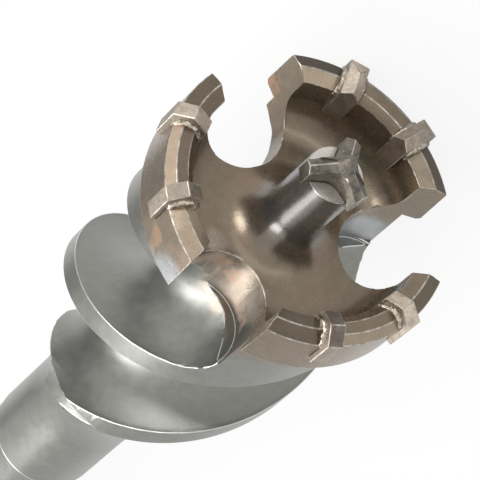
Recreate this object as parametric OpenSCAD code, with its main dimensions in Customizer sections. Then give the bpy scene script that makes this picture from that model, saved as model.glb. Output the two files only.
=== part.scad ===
// Hammer drill bit: a hollow cutter head with three wings, six carbide teeth and a pilot tip,
// a three-start helix that clears the dust behind it, and a long shaft with a grooved shank.
// Lengths are in mm. The head is drawn on its own turning axis, tip upward, with the edge of the
// rim wall at height zero, and the whole bit is then laid down on two teeth and its shank end.

/* [Head] */
// Radius of the steel rim of the head
head_radius = 26.5; // [25:0.5:28]
// Thickness of the rim wall
wall_thickness = 5.1; // [4.5:0.1:5.6]
// Height of the rim ridge above the top of the wall
rim_height = 1.6; // [1.2:0.1:1.9]
// Height of the plain outer wall of the head, down to the step to the flanges
wall_height = 10.1; // [8.5:0.1:11.5]
// Depth of the hollow floor below the rim
bowl_depth = 11.4; // [10:0.2:12]
// Radius of the stem in the middle of the hollow
stem_radius = 5.2; // [4.8:0.1:5.6]
// Height of the end of the stem above the rim
stem_height = 9.5; // [8:0.5:11]
// Half width of each slot between two wings
slot_radius = 8; // [7.2:0.2:8.4]

/* [Helix] */
// Radius of the helical flanges
flange_radius = 23.3; // [22.5:0.1:24]
// Length of one full turn of a flange
helix_lead = 86; // [80:1:92]
// Thickness of a flange along the axis at its outer land
flange_thickness = 5.3; // [4.5:0.1:6]
// Radius of the solid core under the flutes
core_radius = 11.3; // [11:0.1:12]
// Distance behind the rim at which the flanges start to run out
flange_length = 64; // [60:1:70]

/* [Shaft] */
// Overall length from the pilot tip to the struck end
overall_length = 600; // [450:10:800]
// Radius of the neck of the head, where the shaft is joined
neck_radius = 10.6; // [10.2:0.1:10.9]
// Distance from the rim back to the joint between head and shaft
joint_distance = 117.4; // [110:1:130]
// Radius of the long plain shaft
shaft_radius = 10.3; // [9.6:0.1:10.9]
// Radius of the shank that goes in the hammer
shank_radius = 9; // [8.8:0.05:9.2]
// Length of the shank that goes in the hammer
shank_length = 90; // [85:1:100]

/* [Carbide] */
// Radius that the outer ends of the teeth sweep, half of the hole
cutting_radius = 27.5; // [27:0.1:28.5]
// Height of the cutting ridges of the teeth above the top of the wall
tooth_height = 3.9; // [3:0.1:4.5]
// Depth of the tooth seats in the rim
seat_depth = 5.3; // [4:0.1:6.5]
// Width of the teeth whose ridge runs along the rim
edge_tooth_width = 2.8; // [2.4:0.1:3.4]
// Width of the teeth whose ridge points at the axis
point_tooth_width = 3.6; // [3:0.1:4.2]
// Height of the pilot point above the top of the wall
pilot_height = 16.3; // [15:0.1:18]
// Reach of each pilot wing from the axis
pilot_reach = 6.1; // [5.6:0.1:7]
// Thickness of each pilot wing
pilot_thickness = 2.8; // [2.4:0.1:3.2]

/* [Hidden] */
$fn = 96;
overcut = 1;
wing_count = 3;
wing_middle = 82;
slot_middle = wing_middle - 180 / wing_count;
wing_half_angle = 42;
tooth_angle = 17;
braze_film = 0.1;

// Rim, wall and hollow of the head
bowl_radius = head_radius - wall_thickness;
outer_bevel = 1.5;
inner_bevel = 1.4;
ridge_fall = 0.15;
end_height = 0.9;
end_drop = 0.2;
end_crown_radius = head_radius - wall_thickness / 2;
bowl_outer_fillet = 6.6;
bowl_inner_fillet = 7.1;
wall_step = 0.6;
slot_center = 18.8;
slot_depth = 23.4;
slot_mouth_depth = 22.8;

// Run-out of the flanges on the neck
runout_length = 34;
runout_end = flange_length + runout_length;
runout_rise = flange_radius - neck_radius;
runout_curve = (pow(runout_rise, 2) + pow(runout_length, 2)) / (2 * runout_rise);
neck_chamfer = 0.5;

// Flutes between the flanges
wing_edge_depth = 13.1;
wing_edge_angle = 18;
flute_width = helix_lead / wing_count - flange_thickness;
flute_first = -19;
flute_wall = 1;
flute_step = 9;
flute_points = 10;
corner_angle = 13;
corner_rise = 4.1;
corner_steps = 4;
corner_inset = 1.2;
flute_outside = flange_radius + 0.6;
flute_last = wing_edge_angle + 360 * (runout_end - wing_edge_depth) / helix_lead;
flute_steps = ceil((flute_last - flute_first - corner_angle) / flute_step);

// Teeth
tooth_ridge_radius = 24.2;
edge_tooth_inner = bowl_radius - 0.5;
point_tooth_inner = bowl_radius - 1.4;
tooth_shoulder = 1.9;
point_ridge_end = 24.4;
point_shoulder = 2.2;

// Pilot tip on the stem
pilot_seat = 1.2;
pilot_angle = wing_middle + 13;
pilot_fillet = 3;
pilot_fillet_reach = (pilot_fillet + pilot_thickness / 2) / sin(180 / wing_count);
pilot_corner_steps = 8;
pilot_ridge_start = stem_height + 5.4;
pilot_ridge_fall = 21.5;
pilot_flank = 0.5;
pilot_cone_spread = 4.7;
pilot_round = 0.5;

// Shank with three open drive grooves and two closed lock recesses
shank_start = pilot_height - overall_length;
shank_end = shank_start + shank_length;
shank_chamfer = 1;
grooved_radius = shank_radius - 0.3;
shoulder_length = 4;
groove_width = 5;
groove_floor = 6;
groove_length = 66;
groove_angles = [90, 210, 330];
lock_radius = 3;
lock_distance = 7.4;
lock_start = 22;
lock_length = 40;
lock_angles = [0, 180];

// Resting place: down is the middle of one wing, and the struck end of the shank touches behind
contact_radius = cutting_radius * cos(tooth_angle) + point_tooth_width / 2 * sin(tooth_angle);
contact_span = overall_length - pilot_height - shank_chamfer - seat_depth;
rest_tilt = atan((contact_radius - grooved_radius) / contact_span);
rest_height = contact_radius * cos(rest_tilt) + seat_depth * sin(rest_tilt);
front_x = pilot_height * cos(rest_tilt);
back_x = shank_start * cos(rest_tilt) - (grooved_radius - shank_chamfer) * sin(rest_tilt);

// Lays a piece that was drawn on the turning axis in its place on the floor.
module laid_down() {
    translate([-(front_x + back_x) / 2, 0, rest_height])
        rotate([0, 90 - rest_tilt, 0])
            rotate([0, 0, -wing_middle])
                children();
}

// Lower edge of a flange, by the angle turned back from the middle of its slot.
function flange_edge(turn) = -wing_edge_depth - helix_lead * (turn - wing_edge_angle) / 360;

// Rounded corner where a wing turns into its flange: 0 at its start and 90 on the wing's end.
function corner_turn(bend) = flute_first + corner_angle * (1 - sin(bend));
function corner_lift(bend) = corner_rise * (1 - cos(bend));
function corner_depth(bend) = corner_inset * (1 - cos(bend));

// One cross-section of a flute: a half ellipse with short straight walls, closed outside the head.
function flute_ring(turn, lift, inset) =
    let (
        top = flange_edge(turn),
        half = (flute_width - lift) / 2,
        middle = top - half,
        outside = flange_radius - flute_wall,
        depth = outside - core_radius - inset
    )
    concat(
        [for (i = [0:flute_points])
            let (a = 90 - 180 * i / flute_points)
            [outside - depth * cos(a), middle + half * sin(a), -turn]],
        [[flute_outside, middle - half, -turn], [flute_outside, middle + half, -turn]]
    );

function ring_to_points(ring) = [for (p = ring) [p[0] * cos(p[2]), p[0] * sin(p[2]), p[1]]];

// Solid that a flute takes out of the blank: cross-sections carried down the helix.
module flute() {
    rings = concat(
        [for (i = [corner_steps:-1:1])
            let (bend = 90 * i / corner_steps)
            flute_ring(corner_turn(bend), corner_lift(bend), corner_depth(bend))],
        [for (i = [0:flute_steps]) flute_ring(flute_first + corner_angle + i * flute_step, 0, 0)]
    );
    ring_size = flute_points + 3;
    ring_count = len(rings);
    points = [for (ring = rings) for (p = ring_to_points(ring)) p];
    sides = [for (i = [0:ring_count - 2]) for (j = [0:ring_size - 1])
        let (k = (j + 1) % ring_size, a = i * ring_size, b = a + ring_size)
        for (t = [0:1]) t == 0 ? [a + j, b + j, b + k] : [a + j, b + k, a + k]];
    near_cap = [[for (j = [0:ring_size - 1]) j]];
    far_cap = [[for (j = [ring_size - 1:-1:0]) (ring_count - 1) * ring_size + j]];
    polyhedron(points, concat(near_cap, sides, far_cap), convexity = 8);
}

// Outline of the turned blank, from the stem over the hollow and the rim to the neck.
module blank_outline() {
    difference() {
        polygon([
            [0, stem_height],
            [stem_radius, stem_height],
            [stem_radius, rim_height - ridge_fall],
            [bowl_radius + inner_bevel, rim_height - ridge_fall],
            [head_radius - outer_bevel, rim_height],
            [head_radius, 0],
            [head_radius, -wall_height],
            [head_radius - wall_step, -wall_height - wall_step],
            [flange_radius, -wall_height - wall_step],
            [flange_radius, -flange_length],
            [flange_radius, -runout_end],
            [neck_radius, -runout_end],
            [neck_radius, -joint_distance + neck_chamfer],
            [neck_radius - neck_chamfer, -joint_distance],
            [0, -joint_distance]
        ]);
        bowl_cut();
        runout_cut();
    }
}

// Hollow curve in which the flanges run out.
module runout_cut() {
    intersection() {
        translate([neck_radius + runout_curve, -runout_end])
            circle(runout_curve, $fn = 360);
        translate([neck_radius, -runout_end])
            square([runout_rise + overcut, runout_length + overcut]);
    }
}

// Hollow between the stem and the rim wall, with rounded corners in its floor and a bevelled mouth.
module bowl_cut() {
    difference() {
        translate([stem_radius, -bowl_depth])
            square([bowl_radius - stem_radius, bowl_depth + rim_height + overcut]);
        bowl_corner(stem_radius, bowl_inner_fillet, stem_radius + bowl_inner_fillet);
        bowl_corner(bowl_radius - bowl_outer_fillet, bowl_outer_fillet, bowl_radius - bowl_outer_fillet);
    }
    polygon([
        [stem_radius, 0],
        [bowl_radius, 0],
        [bowl_radius + inner_bevel, rim_height - ridge_fall],
        [bowl_radius + inner_bevel, rim_height + overcut],
        [stem_radius, rim_height + overcut]
    ]);
}

// Material left in a corner of the hollow: a square from start, outside a circle about middle.
module bowl_corner(start, fillet, middle) {
    difference() {
        translate([start, -bowl_depth])
            square(fillet);
        translate([middle, -bowl_depth + fillet])
            circle(fillet);
    }
}

// The slot between two wings, drawn on the X axis: round inside, straight sides, open outward.
module slot() {
    translate([slot_center, 0, -slot_depth])
        cylinder(r = slot_radius, h = slot_depth + rim_height + overcut);
    translate([slot_center, -slot_radius, -slot_mouth_depth])
        cube([head_radius, 2 * slot_radius, slot_mouth_depth + rim_height + overcut]);
}

// Low ground part of the rim between a tooth and the end of its wing.
module ground_end(from_angle, sweep) {
    rotate([0, 0, from_angle])
        rotate_extrude(angle = sweep)
            polygon([
                [bowl_radius - overcut, -end_drop - overcut / 2],
                [end_crown_radius, end_height],
                [head_radius + overcut, -end_drop - overcut / 2],
                [head_radius + overcut, rim_height + overcut],
                [bowl_radius - overcut, rim_height + overcut]
            ]);
}

// Seat of one tooth, drawn on the X axis.
module tooth_seat(width) {
    translate([point_tooth_inner - overcut, -width / 2 - braze_film, -seat_depth])
        cube([cutting_radius, width + 2 * braze_film, seat_depth + rim_height + overcut]);
}

// Steel head: a turned cup with three slots, ground rim ends, tooth seats and three flutes.
module cutter_body() {
    color([0.45, 0.42, 0.37])
        laid_down()
            difference() {
                rotate_extrude()
                    blank_outline();
                for (i = [0:wing_count - 1])
                    rotate([0, 0, slot_middle + i * 360 / wing_count]) {
                        flute();
                        slot();
                    }
                for (i = [0:wing_count - 1])
                    rotate([0, 0, wing_middle + i * 360 / wing_count]) {
                        ground_end(tooth_angle, wing_half_angle - tooth_angle);
                        ground_end(-wing_half_angle, wing_half_angle - tooth_angle);
                    }
                for (tooth = TEETH)
                    rotate([0, 0, tooth[0]])
                        tooth_seat(tooth[1] == 0 ? edge_tooth_width : point_tooth_width);
                pilot_star(stem_height - pilot_seat, stem_height + overcut);
            }
}

// Shaft with its shank: turned steel with drive grooves and lock recesses.
module drive_shaft() {
    color([0.5, 0.5, 0.48])
        laid_down()
            difference() {
                rotate_extrude()
                    polygon([
                        [0, -joint_distance],
                        [shaft_radius, -joint_distance],
                        [shaft_radius, shank_end + shoulder_length],
                        [shank_radius, shank_end],
                        [shank_radius, shank_start + groove_length],
                        [grooved_radius, shank_start + groove_length],
                        [grooved_radius, shank_start + shank_chamfer],
                        [grooved_radius - shank_chamfer, shank_start],
                        [0, shank_start]
                    ]);
                for (a = groove_angles)
                    rotate([0, 0, wing_middle + a])
                        drive_groove();
                for (a = lock_angles)
                    rotate([0, 0, wing_middle + a])
                        lock_recess();
            }
}

// Open groove that runs in from the struck end.
module drive_groove() {
    translate([groove_floor, -groove_width / 2, shank_start - overcut])
        cube([shank_radius, groove_width, groove_length + overcut]);
}

// Closed recess with round ends in which the chuck holds the shank.
module lock_recess() {
    translate([lock_distance, 0, shank_start + lock_start]) {
        translate([lock_radius, 0, 0])
            sphere(lock_radius);
        translate([lock_radius, 0, 0])
            cylinder(r = lock_radius, h = lock_length - 2 * lock_radius);
        translate([lock_radius, 0, lock_length - 2 * lock_radius])
            sphere(lock_radius);
    }
}

// Tooth whose ridge runs along the rim: a block with an outer and an inner bevel.
module edge_tooth() {
    translate([0, edge_tooth_width / 2, 0])
        rotate([90, 0, 0])
            linear_extrude(edge_tooth_width)
                polygon([
                    [edge_tooth_inner, -seat_depth],
                    [cutting_radius, -seat_depth],
                    [cutting_radius, tooth_shoulder],
                    [tooth_ridge_radius, tooth_height],
                    [edge_tooth_inner, tooth_shoulder]
                ]);
}

// Tooth whose ridge points at the axis: two flanks and a bevel at its outer end.
module point_tooth() {
    intersection() {
        translate([0, point_tooth_width / 2, 0])
            rotate([90, 0, 0])
                linear_extrude(point_tooth_width)
                    polygon([
                        [point_tooth_inner, -seat_depth],
                        [cutting_radius, -seat_depth],
                        [cutting_radius, tooth_shoulder],
                        [point_ridge_end, tooth_height],
                        [point_tooth_inner, tooth_height]
                    ]);
        rotate([90, 0, 90])
            linear_extrude(cutting_radius)
                polygon([
                    [-point_tooth_width / 2, -seat_depth],
                    [point_tooth_width / 2, -seat_depth],
                    [point_tooth_width / 2, point_shoulder],
                    [0, tooth_height],
                    [-point_tooth_width / 2, point_shoulder]
                ]);
    }
}

// Teeth in turn round the rim: angle and kind, 0 with its ridge along the rim, 1 toward the axis.
TEETH = [
    [wing_middle - tooth_angle, 1],
    [wing_middle + tooth_angle, 1],
    [wing_middle + 360 / wing_count - tooth_angle, 0],
    [wing_middle + 360 / wing_count + tooth_angle, 0],
    [wing_middle - 360 / wing_count - tooth_angle, 0],
    [wing_middle - 360 / wing_count + tooth_angle, 0]
];

module tooth(number) {
    color([0.62, 0.6, 0.55])
        laid_down()
            rotate([0, 0, TEETH[number - 1][0]])
                if (TEETH[number - 1][1] == 0) {
                    edge_tooth();
                } else {
                    point_tooth();
                }
}

// Points of one round inside corner of the pilot, between the wing at an angle and the next wing.
function pilot_corner(angle) =
    let (middle = angle + 180 / wing_count, span = 180 - 360 / wing_count)
    [for (k = [0:pilot_corner_steps])
        let (a = middle + 180 + span / 2 - span * k / pilot_corner_steps)
        [
            pilot_fillet_reach * cos(middle) + pilot_fillet * cos(a),
            pilot_fillet_reach * sin(middle) + pilot_fillet * sin(a)
        ]];

// Corner of the outer end of the pilot wing at an angle, on either side of its middle.
function pilot_end(angle, side) = [
    pilot_reach * cos(angle) - side * pilot_thickness / 2 * sin(angle),
    pilot_reach * sin(angle) + side * pilot_thickness / 2 * cos(angle)
];

// Star of the pilot between two heights: one plate for each wing, with round inside corners.
module pilot_star(bottom, top) {
    points = [for (i = [0:wing_count - 1])
        let (angle = pilot_angle + i * 360 / wing_count)
        each concat([pilot_end(angle, -1), pilot_end(angle, 1)], pilot_corner(angle))];
    translate([0, 0, bottom])
        linear_extrude(top - bottom)
            polygon(points);
}

// Roof of one pilot wing: a ridge over the X axis that falls outward, with a flank on each side.
module pilot_roof() {
    translate([0, 0, pilot_ridge_start])
        rotate([0, pilot_ridge_fall, 0])
            rotate([90, 0, 90])
                linear_extrude(2 * pilot_reach)
                    polygon([
                        [-pilot_height, -pilot_height],
                        [pilot_height, -pilot_height],
                        [pilot_height, -pilot_flank * pilot_height],
                        [0, 0],
                        [-pilot_height, -pilot_flank * pilot_height]
                    ]);
}

// Carbide tip with three ridged wings round a pointed middle.
module pilot_tip() {
    color([0.6, 0.6, 0.57])
        laid_down()
            intersection() {
                pilot_star(stem_height - pilot_seat, pilot_height);
                union() {
                    for (i = [0:wing_count - 1])
                        rotate([0, 0, pilot_angle + i * 360 / wing_count])
                            pilot_roof();
                    translate([0, 0, stem_height - pilot_seat])
                        cylinder(
                            r1 = pilot_round + pilot_cone_spread,
                            r2 = pilot_round,
                            h = pilot_height - stem_height + pilot_seat
                        );
                }
            }
}

cutter_body();
drive_shaft();
tooth(1);  // tooth_1
tooth(2);  // tooth_2
tooth(3);  // tooth_3
tooth(4);  // tooth_4
tooth(5);  // tooth_5
tooth(6);  // tooth_6
pilot_tip();
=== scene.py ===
import math
import bpy
from mathutils import Matrix, Vector


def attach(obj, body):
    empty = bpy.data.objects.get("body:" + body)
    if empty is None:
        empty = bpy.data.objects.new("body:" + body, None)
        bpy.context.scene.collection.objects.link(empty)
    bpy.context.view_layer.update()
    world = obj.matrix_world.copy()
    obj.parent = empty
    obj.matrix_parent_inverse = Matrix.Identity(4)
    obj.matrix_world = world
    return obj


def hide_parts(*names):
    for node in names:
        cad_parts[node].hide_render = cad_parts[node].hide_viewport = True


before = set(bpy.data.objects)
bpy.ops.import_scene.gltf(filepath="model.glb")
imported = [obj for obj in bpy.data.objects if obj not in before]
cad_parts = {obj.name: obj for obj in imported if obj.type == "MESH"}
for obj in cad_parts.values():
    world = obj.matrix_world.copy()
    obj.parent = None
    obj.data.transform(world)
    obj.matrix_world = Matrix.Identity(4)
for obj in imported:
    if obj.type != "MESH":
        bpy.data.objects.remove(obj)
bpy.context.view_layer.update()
print("frame loaded")

# the turning axis of the bit as it lies: rim centre in metres, angles in degrees
bit = {
    "rimX": 0.283681,
    "rimZ": 0.026978,
    "tilt": 1.79793,
    "wingMiddle": 82.0,
}


def bitMatrix():
    # from the bit's own axes (z along the axis to the tip) to the place where it lies
    place = Matrix.Translation((bit["rimX"], 0.0, bit["rimZ"]))
    lay = Matrix.Rotation(math.radians(90.0 - bit["tilt"]), 4, "Y")
    turn = Matrix.Rotation(math.radians(-bit["wingMiddle"]), 4, "Z")
    return place @ lay @ turn


toWorld = bitMatrix()


# camera at the photo's viewing angle
cameraLook = {
    "place": (0.75939387, 0.04236666, 0.38812077),
    "turn": (-46.79218847, 31.16803891, -59.52439537),
    "lens": 270.0,
}


def addCamera():
    data = bpy.data.cameras.new("photoCamera")
    data.lens = cameraLook["lens"]
    data.sensor_width = 36.0
    data.clip_start = 0.01
    data.clip_end = 20.0
    eye = bpy.data.objects.new("photoCamera", data)
    eye.location = cameraLook["place"]
    eye.rotation_euler = [math.radians(a) for a in cameraLook["turn"]]
    bpy.context.scene.collection.objects.link(eye)
    bpy.context.scene.camera = eye


addCamera()
print("camera placed")


# small helpers for node trees
def emptyTree(owner, outputKind):
    owner.use_nodes = True
    tree = owner.node_tree
    tree.nodes.clear()
    return tree, tree.nodes.new(outputKind)


def newMaterial(name):
    mat = bpy.data.materials.new(name)
    tree, out = emptyTree(mat, "ShaderNodeOutputMaterial")
    shader = tree.nodes.new("ShaderNodeBsdfPrincipled")
    tree.links.new(shader.outputs["BSDF"], out.inputs["Surface"])
    return mat, tree, shader


def setInput(tree, socket, value):
    if isinstance(value, bpy.types.NodeSocket):
        tree.links.new(value, socket)
    else:
        socket.default_value = value


def addNode(tree, kind, inputs=None, **settings):
    node = tree.nodes.new(kind)
    for key, value in settings.items():
        setattr(node, key, value)
    for key, value in (inputs or {}).items():
        setInput(tree, node.inputs[key], value)
    return node


def mathNode(tree, what, a, b=0.0, clamp=False):
    return addNode(tree, "ShaderNodeMath", {0: a, 1: b}, operation=what, use_clamp=clamp).outputs[0]


def ramp(tree, value, low, high, atLow=0.0, atHigh=1.0):
    return addNode(tree, "ShaderNodeMapRange",
                   {"Value": value, "From Min": low, "From Max": high, "To Min": atLow, "To Max": atHigh},
                   interpolation_type="SMOOTHSTEP").outputs["Result"]


def times(tree, a, b):
    return mathNode(tree, "MULTIPLY", a, b)


def plus(tree, a, b):
    return mathNode(tree, "ADD", a, b)


def scaleColor(tree, color, gain):
    return addNode(tree, "ShaderNodeVectorMath", {0: color, 1: gain}, operation="MULTIPLY").outputs[0]


def mixColor(tree, factor, a, b):
    # sockets 0, 6 and 7 are the factor and the two colours, and output 2 is the mixed colour
    return addNode(tree, "ShaderNodeMix", {0: factor, 6: a, 7: b}, data_type="RGBA").outputs[2]


def newGroup(name, ins, outs):
    tree = bpy.data.node_groups.new(name, "ShaderNodeTree")
    for socketName, socketType, value in ins:
        socket = tree.interface.new_socket(name=socketName, in_out="INPUT", socket_type=socketType)
        if value is not None:
            socket.default_value = value
    for socketName, socketType in outs:
        tree.interface.new_socket(name=socketName, in_out="OUTPUT", socket_type=socketType)
    return tree, tree.nodes.new("NodeGroupInput"), tree.nodes.new("NodeGroupOutput")


def useGroup(tree, group, inputs=None):
    return addNode(tree, "ShaderNodeGroup", inputs, node_tree=group)


def addBump(tree, shader, height, strength, depth):
    bump = addNode(tree, "ShaderNodeBump", {"Height": height, "Strength": strength, "Distance": depth})
    tree.links.new(bump.outputs["Normal"], shader.inputs["Normal"])


# all shading is worked out in mm on the bit's own axes
# place of a point on the bit: height above the rim, distance from the axis (both in mm) and its own axes
def buildBitPlace():
    tree, ins, outs = newGroup("bitPlace", [],
                               [("Height", "NodeSocketFloat"), ("Radius", "NodeSocketFloat"),
                                ("Spot", "NodeSocketVector")])
    coords = addNode(tree, "ShaderNodeTexCoord")
    back = toWorld.inverted()
    moved = addNode(tree, "ShaderNodeMapping", {"Vector": coords.outputs["Object"]}, vector_type="POINT")
    moved.inputs["Location"].default_value = back.to_translation() * 1000.0
    moved.inputs["Rotation"].default_value = back.to_euler()
    moved.inputs["Scale"].default_value = (1000.0, 1000.0, 1000.0)
    parts = addNode(tree, "ShaderNodeSeparateXYZ", {"Vector": moved.outputs[0]})
    flat = addNode(tree, "ShaderNodeCombineXYZ", {"X": parts.outputs["X"], "Y": parts.outputs["Y"]})
    radius = addNode(tree, "ShaderNodeVectorMath", {0: flat.outputs[0]}, operation="LENGTH")
    tree.links.new(parts.outputs["Z"], outs.inputs["Height"])
    tree.links.new(radius.outputs["Value"], outs.inputs["Radius"])
    tree.links.new(moved.outputs[0], outs.inputs["Spot"])
    return tree


# grain of worked metal at three scales: wide clouds, mottle of a few mm and fine grain
grainLayers = (("Cloud", 0.09, 3.0), ("Mottle", 0.5, 5.0), ("Grain", 4.0, 2.0))


def buildMetalGrain():
    scales = [(name + " Scale", "NodeSocketFloat", scale) for name, scale, detail in grainLayers]
    tree, ins, outs = newGroup("metalGrain", [("Spot", "NodeSocketVector", None)] + scales,
                               [(name, "NodeSocketFloat") for name, scale, detail in grainLayers])
    for name, scale, detail in grainLayers:
        noise = addNode(tree, "ShaderNodeTexNoise",
                        {"Vector": ins.outputs["Spot"], "Scale": ins.outputs[name + " Scale"],
                         "Detail": detail, "Roughness": 0.6})
        tree.links.new(ramp(tree, noise.outputs["Fac"], 0.32, 0.68), outs.inputs[name])
    return tree


# fine rings left by turning, along a length in mm, with uneven depth
def buildTurnedRings():
    tree, ins, outs = newGroup("turnedRings",
                               [("Along", "NodeSocketFloat", 0.0), ("Pitch", "NodeSocketFloat", 0.35)],
                               [("Rings", "NodeSocketFloat")])
    turns = mathNode(tree, "DIVIDE", ins.outputs["Along"], ins.outputs["Pitch"])
    wave = mathNode(tree, "SINE", times(tree, turns, 2.0 * math.pi))
    uneven = addNode(tree, "ShaderNodeTexNoise", {"W": turns, "Scale": 0.37, "Detail": 2.0},
                     noise_dimensions="1D")
    depth = times(tree, wave, uneven.outputs["Fac"])
    tree.links.new(plus(tree, times(tree, depth, 0.5), 0.5), outs.inputs["Rings"])
    return tree


# soft patch round one place on the bit, broken up by mottle
def buildPatch():
    tree, ins, outs = newGroup("patch",
                               [("Spot", "NodeSocketVector", None), ("Middle", "NodeSocketVector", None),
                                ("Reach", "NodeSocketFloat", 3.0), ("Break", "NodeSocketFloat", 0.0)],
                               [("Mask", "NodeSocketFloat")])
    away = addNode(tree, "ShaderNodeVectorMath", {0: ins.outputs["Spot"], 1: ins.outputs["Middle"]},
                   operation="DISTANCE")
    share = mathNode(tree, "DIVIDE", away.outputs["Value"], ins.outputs["Reach"])
    near = mathNode(tree, "SUBTRACT", 1.0, share)
    broken = plus(tree, near, times(tree, ins.outputs["Break"], 0.6))
    tree.links.new(ramp(tree, broken, 0.3, 0.95), outs.inputs["Mask"])
    return tree


bitPlace = buildBitPlace()
metalGrain = buildMetalGrain()
turnedRings = buildTurnedRings()
patch = buildPatch()


def patchMask(tree, spot, mottle, places):
    total = None
    for middle, reach in places:
        one = useGroup(tree, patch, {"Spot": spot, "Middle": middle, "Reach": reach, "Break": mottle})
        if total is None:
            total = one.outputs["Mask"]
        else:
            total = mathNode(tree, "MAXIMUM", total, one.outputs["Mask"])
    return total


# steel of the head and helix: bronze heat tint on the cup, plain grey on the helix, places and heights in mm
headSteel = {
    "olive": (0.205, 0.171, 0.124, 1.0),
    "copper": (0.228, 0.163, 0.120, 1.0),
    "copperShare": 0.7,
    "cool": (0.230, 0.231, 0.212, 1.0),
    "stem": (0.200, 0.187, 0.176, 1.0),
    # colour of the painted highlight in the slot
    "paintedHighlight": (0.40, 0.335, 0.275, 1.0),
    "blue": (0.37, 0.385, 0.395, 1.0),
    "blueShare": 0.85,
    "rust": (0.42, 0.20, 0.095, 1.0),
    "rustShare": 0.42,
    "tintStart": -17.0,
    "tintFull": -11.0,
    "tintWander": 3.0,
    "stemInside": 8.0,
    "stemOutside": 10.5,
    "stemStart": -11.0,
    "stemFull": -5.0,
    "oxideCup": 0.25,
    "oxideRust": 0.2,
    "roughCup": 0.27,
    "roughHelix": 0.35,
    "roughMottle": 0.04,
    "roughRust": 0.15,
    "ringPitch": 0.42,
    "facePitch": 0.5,
    "ringShare": 0.25,
    "grainDepth": 0.000007,
    "rustPlaces": (((-4.6, -10.9, -14.9), 2.6), ((-1.6, -10.7, -16.6), 2.8), ((4.4, -13.6, -20.2), 3.0),
                   ((-17.9, -19.6, -7.0), 2.6), ((-14.1, 21.2, -9.2), 3.2)),
    # middles and reaches of the painted highlight in the slot
    "paintedHighlightPlaces": (((0.0, -11.4, -18.8), 8.5), ((-8.0, -11.5, -14.0), 4.0)),
    "bluePlaces": (((-14.3, -22.3, -9.6), 5.0), ((-16.5, -20.6, -11.0), 4.0), ((13.6, 14.1, -17.9), 6.0)),
}


def finishAndLightColor(tree, color):
    # a per-face attribute scales the colour: the brighter turned end of the stem, and painted light and shade
    # on the rim faces and the tooth tops
    finishAndPaintedLight = addNode(tree, "ShaderNodeAttribute", attribute_name="finishAndPaintedLight")
    return scaleColor(tree, color, times(tree, finishAndPaintedLight.outputs["Fac"], 2.0))


def headColor(tree, place, grain, tint, rust):
    look = headSteel
    spot, cloud, mottle = place.outputs["Spot"], grain.outputs["Cloud"], grain.outputs["Mottle"]
    cup = mixColor(tree, times(tree, cloud, look["copperShare"]), look["olive"], look["copper"])
    color = mixColor(tree, tint, look["cool"], cup)
    slim = ramp(tree, place.outputs["Radius"], look["stemInside"], look["stemOutside"], 1.0, 0.0)
    tall = ramp(tree, place.outputs["Height"], look["stemStart"], look["stemFull"])
    color = mixColor(tree, times(tree, slim, tall), color, look["stem"])
    # painted highlight patches in the slot
    paintedHighlight = patchMask(tree, spot, cloud, look["paintedHighlightPlaces"])
    color = mixColor(tree, paintedHighlight, color, look["paintedHighlight"])
    blue = patchMask(tree, spot, cloud, look["bluePlaces"])
    color = mixColor(tree, times(tree, blue, look["blueShare"]), color, look["blue"])
    color = scaleColor(tree, finishAndLightColor(tree, color), ramp(tree, mottle, 0.0, 1.0, 0.95, 1.05))
    return mixColor(tree, times(tree, rust, look["rustShare"]), color, look["rust"])


def buildHeadSteel():
    look = headSteel
    mat, tree, shader = newMaterial("headSteel")
    place = useGroup(tree, bitPlace)
    grain = useGroup(tree, metalGrain, {"Spot": place.outputs["Spot"]})
    mottle = grain.outputs["Mottle"]
    edge = plus(tree, place.outputs["Height"], times(tree, grain.outputs["Cloud"], look["tintWander"]))
    tint = ramp(tree, edge, look["tintStart"], look["tintFull"])
    rust = times(tree, patchMask(tree, place.outputs["Spot"], mottle, look["rustPlaces"]),
                 ramp(tree, mottle, 0.1, 1.0, 0.3, 1.0))
    tree.links.new(headColor(tree, place, grain, tint, rust), shader.inputs["Base Color"])
    rough = plus(tree, ramp(tree, tint, 0.0, 1.0, look["roughHelix"], look["roughCup"]),
                 times(tree, mathNode(tree, "SUBTRACT", mottle, 0.5), look["roughMottle"]))
    rough = mathNode(tree, "ADD", rough, times(tree, rust, look["roughRust"]), clamp=True)
    tree.links.new(rough, shader.inputs["Roughness"])
    oxide = plus(tree, times(tree, tint, look["oxideCup"]), times(tree, rust, look["oxideRust"]))
    tree.links.new(mathNode(tree, "SUBTRACT", 1.0, oxide), shader.inputs["Metallic"])
    rings = useGroup(tree, turnedRings, {"Along": place.outputs["Height"], "Pitch": look["ringPitch"]})
    faceRings = useGroup(tree, turnedRings, {"Along": place.outputs["Radius"], "Pitch": look["facePitch"]})
    height = plus(tree, times(tree, rings.outputs["Rings"], look["ringShare"]), grain.outputs["Grain"])
    height = plus(tree, height, times(tree, faceRings.outputs["Rings"], look["ringShare"]))
    addBump(tree, shader, height, 0.5, look["grainDepth"])
    return mat


# edges of the steel rubbed bright by use; their light colour is also a painted highlight
wornEdgeHighlight = {
    "color": (0.52, 0.485, 0.43, 1.0),
    "dull": (0.23, 0.205, 0.165, 1.0),
    "bare": (0.56, 0.56, 0.54, 1.0),
    "bareBelow": -22.0,
    "wornAbove": -12.0,
    "roughness": 0.3,
}


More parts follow.
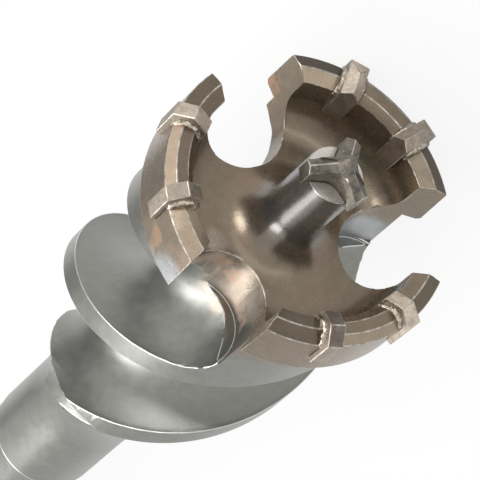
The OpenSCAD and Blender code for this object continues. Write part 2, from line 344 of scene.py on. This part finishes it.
def buildWornEdgeHighlight(name, look):
    mat, tree, shader = newMaterial(name)
    place = useGroup(tree, bitPlace)
    grain = useGroup(tree, metalGrain, {"Spot": place.outputs["Spot"], "Mottle Scale": 0.7})
    # lighter colour on the edges: rubbed metal with a painted highlight
    wornHighlight = mixColor(tree, grain.outputs["Mottle"], look["dull"], look["color"])
    cup = ramp(tree, place.outputs["Height"], look["bareBelow"], look["wornAbove"])
    tree.links.new(mixColor(tree, cup, look["bare"], wornHighlight), shader.inputs["Base Color"])
    shader.inputs["Metallic"].default_value = 1.0
    shader.inputs["Roughness"].default_value = look["roughness"]
    return mat


# bare steel of the shaft and shank
shaftSteel = {
    "color": (0.262, 0.262, 0.248, 1.0),
    "dark": (0.238, 0.236, 0.222, 1.0),
    "roughFrom": 0.27,
    "roughMottle": 0.08,
    "cloudScale": 0.05,
    "ringPitch": 0.6,
    "grainShare": 0.6,
    "grainDepth": 0.000006,
}


def buildShaftSteel():
    look = shaftSteel
    mat, tree, shader = newMaterial("shaftSteel")
    place = useGroup(tree, bitPlace)
    grain = useGroup(tree, metalGrain, {"Spot": place.outputs["Spot"], "Cloud Scale": look["cloudScale"]})
    color = mixColor(tree, grain.outputs["Cloud"], look["dark"], look["color"])
    tree.links.new(color, shader.inputs["Base Color"])
    shader.inputs["Metallic"].default_value = 1.0
    rough = plus(tree, look["roughFrom"], times(tree, grain.outputs["Mottle"], look["roughMottle"]))
    tree.links.new(rough, shader.inputs["Roughness"])
    rings = useGroup(tree, turnedRings, {"Along": place.outputs["Height"], "Pitch": look["ringPitch"]})
    height = plus(tree, rings.outputs["Rings"], times(tree, grain.outputs["Grain"], look["grainShare"]))
    addBump(tree, shader, height, 0.5, look["grainDepth"])
    return mat


# sintered carbide of the teeth and the pilot
carbide = {
    "light": (0.40, 0.345, 0.285, 1.0),
    "dark": (0.215, 0.182, 0.145, 1.0),
    "roughFrom": 0.37,
    "grainDepth": 0.00003,
}
pilotCarbide = {
    "light": (0.245, 0.22, 0.185, 1.0),
    "dark": (0.07, 0.061, 0.05, 1.0),
    "roughFrom": 0.29,
    "grainDepth": 0.00003,
}
# bright chipped edges of the carbide; their light colour is also a painted highlight
carbideEdgeHighlight = {
    "color": (0.58, 0.53, 0.46, 1.0),
    "dull": (0.28, 0.245, 0.20, 1.0),
    "bare": (0.50, 0.47, 0.42, 1.0),
    "bareBelow": -22.0,
    "wornAbove": -12.0,
    "roughness": 0.34,
}


def buildCarbide(name, look):
    mat, tree, shader = newMaterial(name)
    place = useGroup(tree, bitPlace)
    grain = useGroup(tree, metalGrain, {"Spot": place.outputs["Spot"], "Cloud Scale": 0.35,
                                        "Mottle Scale": 1.6, "Grain Scale": 7.0})
    mixed = times(tree, plus(tree, grain.outputs["Cloud"], grain.outputs["Mottle"]), 0.5)
    color = finishAndLightColor(tree, mixColor(tree, mixed, look["dark"], look["light"]))
    tree.links.new(color, shader.inputs["Base Color"])
    shader.inputs["Metallic"].default_value = 0.9
    rough = plus(tree, look["roughFrom"], times(tree, grain.outputs["Mottle"], 0.1))
    tree.links.new(rough, shader.inputs["Roughness"])
    height = plus(tree, grain.outputs["Grain"], grain.outputs["Mottle"])
    addBump(tree, shader, height, 0.6, look["grainDepth"])
    return mat


# braze that ran out beside the carbide
braze = {
    "light": (0.66, 0.60, 0.50, 1.0),
    "dark": (0.24, 0.20, 0.16, 1.0),
    "roughness": 0.3,
    "spread": 0.62,
    "height": 0.55,
    "sink": 1.2,
    "uneven": 0.00009,
}


def buildBraze():
    mat, tree, shader = newMaterial("brazeMetal")
    place = useGroup(tree, bitPlace)
    grain = useGroup(tree, metalGrain, {"Spot": place.outputs["Spot"], "Mottle Scale": 1.3})
    color = mixColor(tree, grain.outputs["Mottle"], braze["dark"], braze["light"])
    tree.links.new(color, shader.inputs["Base Color"])
    shader.inputs["Metallic"].default_value = 1.0
    shader.inputs["Roughness"].default_value = braze["roughness"]
    return mat


steelOfHead = buildHeadSteel()
edgeOfSteel = buildWornEdgeHighlight("wornEdgeHighlight", wornEdgeHighlight)
steelOfShaft = buildShaftSteel()
grainOfTeeth = buildCarbide("carbideGrain", carbide)
grainOfPilot = buildCarbide("pilotGrain", pilotCarbide)
edgeOfCarbide = buildWornEdgeHighlight("carbideEdgeHighlight", carbideEdgeHighlight)
brazeMetal = buildBraze()
print("materials ready")


def pickOnly(piece):
    bpy.ops.object.select_all(action="DESELECT")
    piece.select_set(True)
    bpy.context.view_layer.objects.active = piece


# how each merged copy of a CAD node is finished: widths in metres, angles in degrees
copyFinish = {
    "merge": 0.000002,
    "flat": 0.6,
    "headBevel": 0.00016,
    "shaftBevel": 0.0002,
    "toothBevel": 0.00016,
    "pilotBevel": 0.00014,
    "bevelFrom": 33.0,
    "bevelTo": 140.0,
    "sliver": 0.00075,
    "sliverRadius": 0.0255,
    "sliverLow": -0.0001,
    "sliverHigh": 0.0008,
    "shortest": 1.6,
    "smoothSteel": 44.0,
    "smoothCarbide": 18.0,
}


def edgeBends(mesh):
    # angle in degrees between the two faces at each edge
    normals = {}
    for face in mesh.polygons:
        for key in face.edge_keys:
            normals.setdefault(key, []).append(face.normal.copy())
    bends = []
    for edge in mesh.edges:
        sides = normals.get(edge.key, [])
        bends.append(math.degrees(sides[0].angle(sides[1], 0.0)) if len(sides) == 2 else 0.0)
    return bends


def findSlivers(mesh, back):
    # folded short edges at the wing tips, each as its two ends with the lower one first
    look = copyFinish
    corners = []
    for edge, bend in zip(mesh.edges, edgeBends(mesh)):
        ends = [mesh.vertices[index].co.copy() for index in edge.vertices]
        place = back @ ends[0]
        outside = math.hypot(place.x, place.y) > look["sliverRadius"]
        level = look["sliverLow"] < place.z < look["sliverHigh"]
        short = (ends[0] - ends[1]).length < look["sliver"]
        if outside and level and short and bend > look["bevelTo"]:
            ends.sort(key=lambda co: (back @ co).z)
            corners.append(ends)
    return corners


def closeSlivers(piece):
    # thin slivers at the tips of the wings are drawn down to one corner each
    mesh = piece.data
    back = toWorld.inverted()
    sameSpot = 0.00001
    corners = findSlivers(mesh, back)
    for low, high in corners:
        for group in (mesh.edges, mesh.polygons):
            for part in group:
                part.select = False
        near = []
        for vertex in mesh.vertices:
            close = (vertex.co - low).length < copyFinish["sliver"]
            vertex.select = close and (vertex.co - high).length > sameSpot
            if vertex.select:
                near.append(vertex.co.copy())
        bpy.context.scene.cursor.location = min(near, key=lambda co: (back @ co).z)
        bpy.ops.object.mode_set(mode="EDIT")
        bpy.ops.mesh.select_mode(type="VERT")
        bpy.ops.mesh.merge(type="CURSOR")
        bpy.ops.object.mode_set(mode="OBJECT")
    bpy.ops.object.mode_set(mode="EDIT")
    bpy.ops.mesh.select_all(action="SELECT")
    bpy.ops.mesh.dissolve_degenerate(threshold=sameSpot)
    bpy.ops.object.mode_set(mode="OBJECT")
    print("slivers closed:", len(corners))


def markSharpEdges(mesh, width):
    # bevel weight on the sharp edges, left out where a very short or folded edge would throw the bevel off
    bends = edgeBends(mesh)
    crowded = set()
    for edge, bend in zip(mesh.edges, bends):
        start, end = edge.vertices
        length = (mesh.vertices[start].co - mesh.vertices[end].co).length
        if length < width * copyFinish["shortest"] or bend > copyFinish["bevelTo"]:
            crowded.update((start, end))
    weights = [1.0 if bend > copyFinish["bevelFrom"] and not crowded.intersection(edge.vertices) else 0.0
               for bend, edge in zip(bends, mesh.edges)]
    mesh.attributes.new("bevel_weight_edge", "FLOAT", "EDGE").data.foreach_set("value", weights)


def softCopy(nodeName, pieceName, mats, width, smooth, tidyTips=False):
    # a merged copy with softened edges stands in for the loose triangles of the node
    piece = bpy.data.objects.new(pieceName, bpy.data.objects[nodeName].data.copy())
    bpy.context.scene.collection.objects.link(piece)
    piece.data.materials.clear()
    for mat in mats:
        piece.data.materials.append(mat)
    pickOnly(piece)
    bpy.ops.mesh.customdata_custom_splitnormals_clear()
    bpy.ops.object.mode_set(mode="EDIT")
    bpy.ops.mesh.select_all(action="SELECT")
    bpy.ops.mesh.remove_doubles(threshold=copyFinish["merge"])
    bpy.ops.object.mode_set(mode="OBJECT")
    if tidyTips:
        closeSlivers(piece)
    bpy.ops.object.mode_set(mode="EDIT")
    bpy.ops.mesh.select_all(action="SELECT")
    bpy.ops.mesh.dissolve_limited(angle_limit=math.radians(copyFinish["flat"]))
    bpy.ops.object.mode_set(mode="OBJECT")
    markSharpEdges(piece.data, width)
    soft = piece.modifiers.new("softEdges", "BEVEL")
    soft.width = width
    soft.segments = 2
    soft.limit_method = "WEIGHT"
    soft.use_clamp_overlap = False
    soft.material = 1
    bpy.ops.object.modifier_apply(modifier="softEdges")
    bpy.ops.object.shade_smooth_by_angle(angle=math.radians(smooth))
    even = piece.modifiers.new("evenNormals", "WEIGHTED_NORMAL")
    even.keep_sharp = True
    bpy.ops.object.modifier_apply(modifier="evenNormals")
    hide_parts(nodeName)
    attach(piece, "root")
    return piece


# painted light and shade on the ground rim faces between the teeth, 0.5 plain
# each face: angle in degrees where it ends, tone of its inner side, tone of its outer side
rimPaintedLight = {
    "inner": 21.3,
    "outer": 26.45,
    "lowest": -0.45,
    "faces": ((65.0, 0.55, 0.3), (99.0, 0.6, 0.4), (130.0, 0.7, 0.2), (185.0, 0.4, 0.3), (219.0, 0.4, 1.2),
              (250.0, 0.9, 0.8), (305.0, 0.36, 0.24), (339.0, 0.45, 0.8), (370.0, 0.5, 0.32)),
}
turnedEnd = {
    "height": 9.45,
    "tone": 1.5,
}
# painted light and shade on the top face of each tooth, 0.5 plain
toothTopPaintedLight = (0.65, 0.9, 0.7, 0.4, 0.28, 0.9)
plainTone = 0.5


def paintFinishAndLight(piece, toneOf):
    # writes the tone of each face, from its middle and normal on the bit's own axes in mm; on the rim faces
    # and tooth tops this tone is painted light and shade
    mesh = piece.data
    layer = mesh.attributes.new("finishAndPaintedLight", "FLOAT", "FACE")
    back = toWorld.inverted()
    turn = back.to_3x3()
    layer.data.foreach_set("value", [toneOf(back @ face.center * 1000.0, turn @ face.normal)
                                     for face in mesh.polygons])


# brighter turned end of the stem, painted light and shade on the rim faces between the teeth, plain elsewhere
def headFinishAndLight(spot, normal):
    radius = math.hypot(spot.x, spot.y)
    if spot.z > turnedEnd["height"] and normal.z > 0.9:
        return turnedEnd["tone"]
    look = rimPaintedLight
    if not (look["inner"] < radius < look["outer"] and spot.z > look["lowest"] and normal.z > 0.2):
        return plainTone
    angle = math.degrees(math.atan2(spot.y, spot.x)) % 360.0
    if angle < 30.0:
        angle += 360.0
    outward = spot.x * normal.x + spot.y * normal.y > 0.0
    for end, innerPaintedLight, outerPaintedLight in look["faces"]:
        if angle < end:
            return outerPaintedLight if outward else innerPaintedLight
    return plainTone


# painted light and shade on a tooth's top face, plain on its other faces
def toothPaintedLight(paintedTopLight):
    return lambda spot, normal: paintedTopLight if normal.z > 0.5 else plainTone


head = softCopy("cutter_body", "headBody", (steelOfHead, edgeOfSteel), copyFinish["headBevel"],
                copyFinish["smoothSteel"], tidyTips=True)
paintFinishAndLight(head, headFinishAndLight)
shaft = softCopy("drive_shaft", "shaftBody", (steelOfShaft, edgeOfSteel), copyFinish["shaftBevel"],
                 copyFinish["smoothSteel"])
for number, paintedTopLight in enumerate(toothTopPaintedLight, start=1):
    tooth = softCopy("tooth_%d" % number, "carbideTooth%d" % number, (grainOfTeeth, edgeOfCarbide),
                     copyFinish["toothBevel"], copyFinish["smoothCarbide"])
    paintFinishAndLight(tooth, toothPaintedLight(paintedTopLight))
pilot = softCopy("pilot_tip", "pilotCarbide", (grainOfPilot, edgeOfCarbide), copyFinish["pilotBevel"],
                 copyFinish["smoothCarbide"])
paintFinishAndLight(pilot, toothPaintedLight(plainTone))
print("bit dressed")

# seats of the teeth: angle round the rim in degrees and width in mm
toothSeats = {
    "places": ((65.0, 3.6), (99.0, 3.6), (185.0, 2.8), (219.0, 2.8), (305.0, 2.8), (339.0, 2.8)),
    "inner": 20.9,
    "outer": 26.55,
    "crownIn": 22.8,
    "crownOut": 25.0,
    "crown": 1.6,
}


def addBrazeCollar(name, angle, width, seed):
    # a low uneven bead that fills the corner between a tooth and the rim
    seat = toothSeats
    top = seat["crown"] + braze["height"]
    bpy.ops.object.select_all(action="DESELECT")
    bpy.ops.mesh.primitive_cube_add(size=1.0)
    piece = bpy.context.object
    piece.name = name
    wide = width + 2.0 * braze["spread"]
    piece.scale = ((seat["outer"] - seat["inner"]) / 1000.0, wide / 1000.0, (top + braze["sink"]) / 1000.0)
    piece.location = ((seat["outer"] + seat["inner"]) / 2000.0, 0.0, (top - braze["sink"]) / 2000.0)
    bpy.ops.object.transform_apply(location=True, rotation=False, scale=True)
    bpy.ops.object.mode_set(mode="EDIT")
    for edge, slope in ((seat["crownOut"], 1.0), (seat["crownIn"], -1.0)):
        bpy.ops.mesh.select_all(action="SELECT")
        bpy.ops.mesh.bisect(plane_co=(edge / 1000.0, 0.0, top / 1000.0), plane_no=(slope, 0.0, 1.0),
                            use_fill=True, clear_outer=True)
    bpy.ops.mesh.select_all(action="SELECT")
    bpy.ops.mesh.bevel(offset=braze["spread"] * 0.8 / 1000.0, segments=2, affect="EDGES")
    bpy.ops.mesh.select_all(action="SELECT")
    bpy.ops.mesh.quads_convert_to_tris()
    bpy.ops.mesh.subdivide(number_cuts=2, smoothness=0.3)
    bpy.ops.transform.vertex_random(offset=braze["uneven"], uniform=0.2, normal=0.8, seed=seed)
    bpy.ops.object.mode_set(mode="OBJECT")
    piece.matrix_world = toWorld @ Matrix.Rotation(math.radians(angle), 4, "Z")
    bpy.ops.object.transform_apply(location=True, rotation=True, scale=True)
    bpy.ops.object.shade_smooth()
    piece.data.materials.append(brazeMetal)
    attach(piece, "root")


for number, (angle, width) in enumerate(toothSeats["places"], start=1):
    addBrazeCollar("brazeBead%d" % number, angle, width, number)
print("braze added")


# floor, world, lamps and the dark card that shapes the reflections on the metal
studio = {
    "floorSize": 8.0,
    "floorGlow": 0.88,
    "floorMirrored": 0.35,
    "floorColor": (0.95, 0.95, 0.95, 1.0),
    "worldStrength": 0.5,
    "aim": (0.26, 0.0, 0.03),
    # name, bearing and rise in degrees, distance, width, height, power
    "lamps": (("keyLamp", 162.0, 51.0, 1.1, 0.66, 0.66, 7.2), ("sideLamp", 114.0, 37.0, 1.1, 0.50, 0.50, 5.2),
              ("frontLamp", 41.0, 13.0, 1.5, 0.48, 0.60, 6.8), ("lowLamp", -10.0, 6.0, 1.5, 1.5, 0.30, 1.5)),
    "cardLow": (-1.6, 0.065),
    "cardHigh": (0.30, 1.2),
    "cardHeight": 0.14,
    "cardShade": 0.4,
}


pureWhite = (1.0, 1.0, 1.0, 1.0)


def seenMask(tree):
    # one for camera, glossy and transmission rays, and one for the last two alone
    path = addNode(tree, "ShaderNodeLightPath")
    mirrored = mathNode(tree, "MAXIMUM", path.outputs["Is Glossy Ray"], path.outputs["Is Transmission Ray"])
    return mathNode(tree, "MAXIMUM", path.outputs["Is Camera Ray"], mirrored), mirrored


def addWorld():
    world = bpy.data.worlds.new("studioWorld")
    tree, out = emptyTree(world, "ShaderNodeOutputWorld")
    light = addNode(tree, "ShaderNodeBackground", {"Color": pureWhite, "Strength": studio["worldStrength"]})
    white = addNode(tree, "ShaderNodeBackground", {"Color": pureWhite, "Strength": 1.0})
    seen = seenMask(tree)[0]
    mix = addNode(tree, "ShaderNodeMixShader", {0: seen, 1: light.outputs[0], 2: white.outputs[0]})
    tree.links.new(mix.outputs[0], out.inputs["Surface"])
    bpy.context.scene.world = world


def addFloor():
    bpy.ops.object.select_all(action="DESELECT")
    bpy.ops.mesh.primitive_plane_add(size=studio["floorSize"], location=(0.0, 0.0, 0.0))
    floor = bpy.context.object
    floor.name = "studioFloor"
    mat = bpy.data.materials.new("paleFloor")
    tree, out = emptyTree(mat, "ShaderNodeOutputMaterial")
    plain = addNode(tree, "ShaderNodeBsdfDiffuse", {"Color": studio["floorColor"]})
    white = addNode(tree, "ShaderNodeEmission", {"Color": pureWhite, "Strength": 1.0})
    seen, mirrored = seenMask(tree)
    share = ramp(tree, mirrored, 0.0, 1.0, studio["floorGlow"], studio["floorMirrored"])
    glow = mathNode(tree, "MULTIPLY", seen, share)
    mix = addNode(tree, "ShaderNodeMixShader", {0: glow, 1: plain.outputs[0], 2: white.outputs[0]})
    tree.links.new(mix.outputs[0], out.inputs["Surface"])
    floor.data.materials.append(mat)


def addDarkCard():
    # lies on the floor along one side and turns up at its far edge, seen by reflections only
    (left, near), (right, far) = studio["cardLow"], studio["cardHigh"]
    lift = 0.001
    bpy.ops.object.select_all(action="DESELECT")
    bpy.ops.mesh.primitive_plane_add(size=1.0, location=((left + right) / 2.0, (near + far) / 2.0, lift))
    card = bpy.context.object
    card.name = "darkCard"
    card.scale = (right - left, far - near, 1.0)
    bpy.ops.object.transform_apply(location=True, rotation=False, scale=True)
    for edge in card.data.edges:
        edge.select = all(card.data.vertices[index].co.y > far - lift for index in edge.vertices)
    for vertex in card.data.vertices:
        vertex.select = vertex.co.y > far - lift
    for face in card.data.polygons:
        face.select = False
    bpy.ops.object.mode_set(mode="EDIT")
    bpy.ops.mesh.select_mode(type="EDGE")
    bpy.ops.mesh.extrude_region_move(TRANSFORM_OT_translate={"value": (0.0, 0.0, studio["cardHeight"])})
    bpy.ops.object.mode_set(mode="OBJECT")
    mat = bpy.data.materials.new("darkCardGrey")
    tree, out = emptyTree(mat, "ShaderNodeOutputMaterial")
    shade = addNode(tree, "ShaderNodeEmission", {"Color": pureWhite, "Strength": studio["cardShade"]})
    tree.links.new(shade.outputs[0], out.inputs["Surface"])
    card.data.materials.append(mat)
    card.visible_camera = False
    card.visible_diffuse = False
    card.visible_transmission = False
    card.visible_shadow = False


def addLamp(name, bearing, rise, distance, wide, high, power):
    data = bpy.data.lights.new(name, "AREA")
    data.shape = "RECTANGLE"
    data.size = wide
    data.size_y = high
    data.energy = power
    lamp = bpy.data.objects.new(name, data)
    flat = distance * math.cos(math.radians(rise))
    offset = Vector((flat * math.cos(math.radians(bearing)), flat * math.sin(math.radians(bearing)),
                     distance * math.sin(math.radians(rise))))
    lamp.location = Vector(studio["aim"]) + offset
    lamp.rotation_euler = (-offset).to_track_quat("-Z", "Y").to_euler()
    bpy.context.scene.collection.objects.link(lamp)


addWorld()
addFloor()
addDarkCard()
for lampLook in studio["lamps"]:
    addLamp(*lampLook)
bpy.context.scene.view_settings.view_transform = "Standard"
print("studio ready")
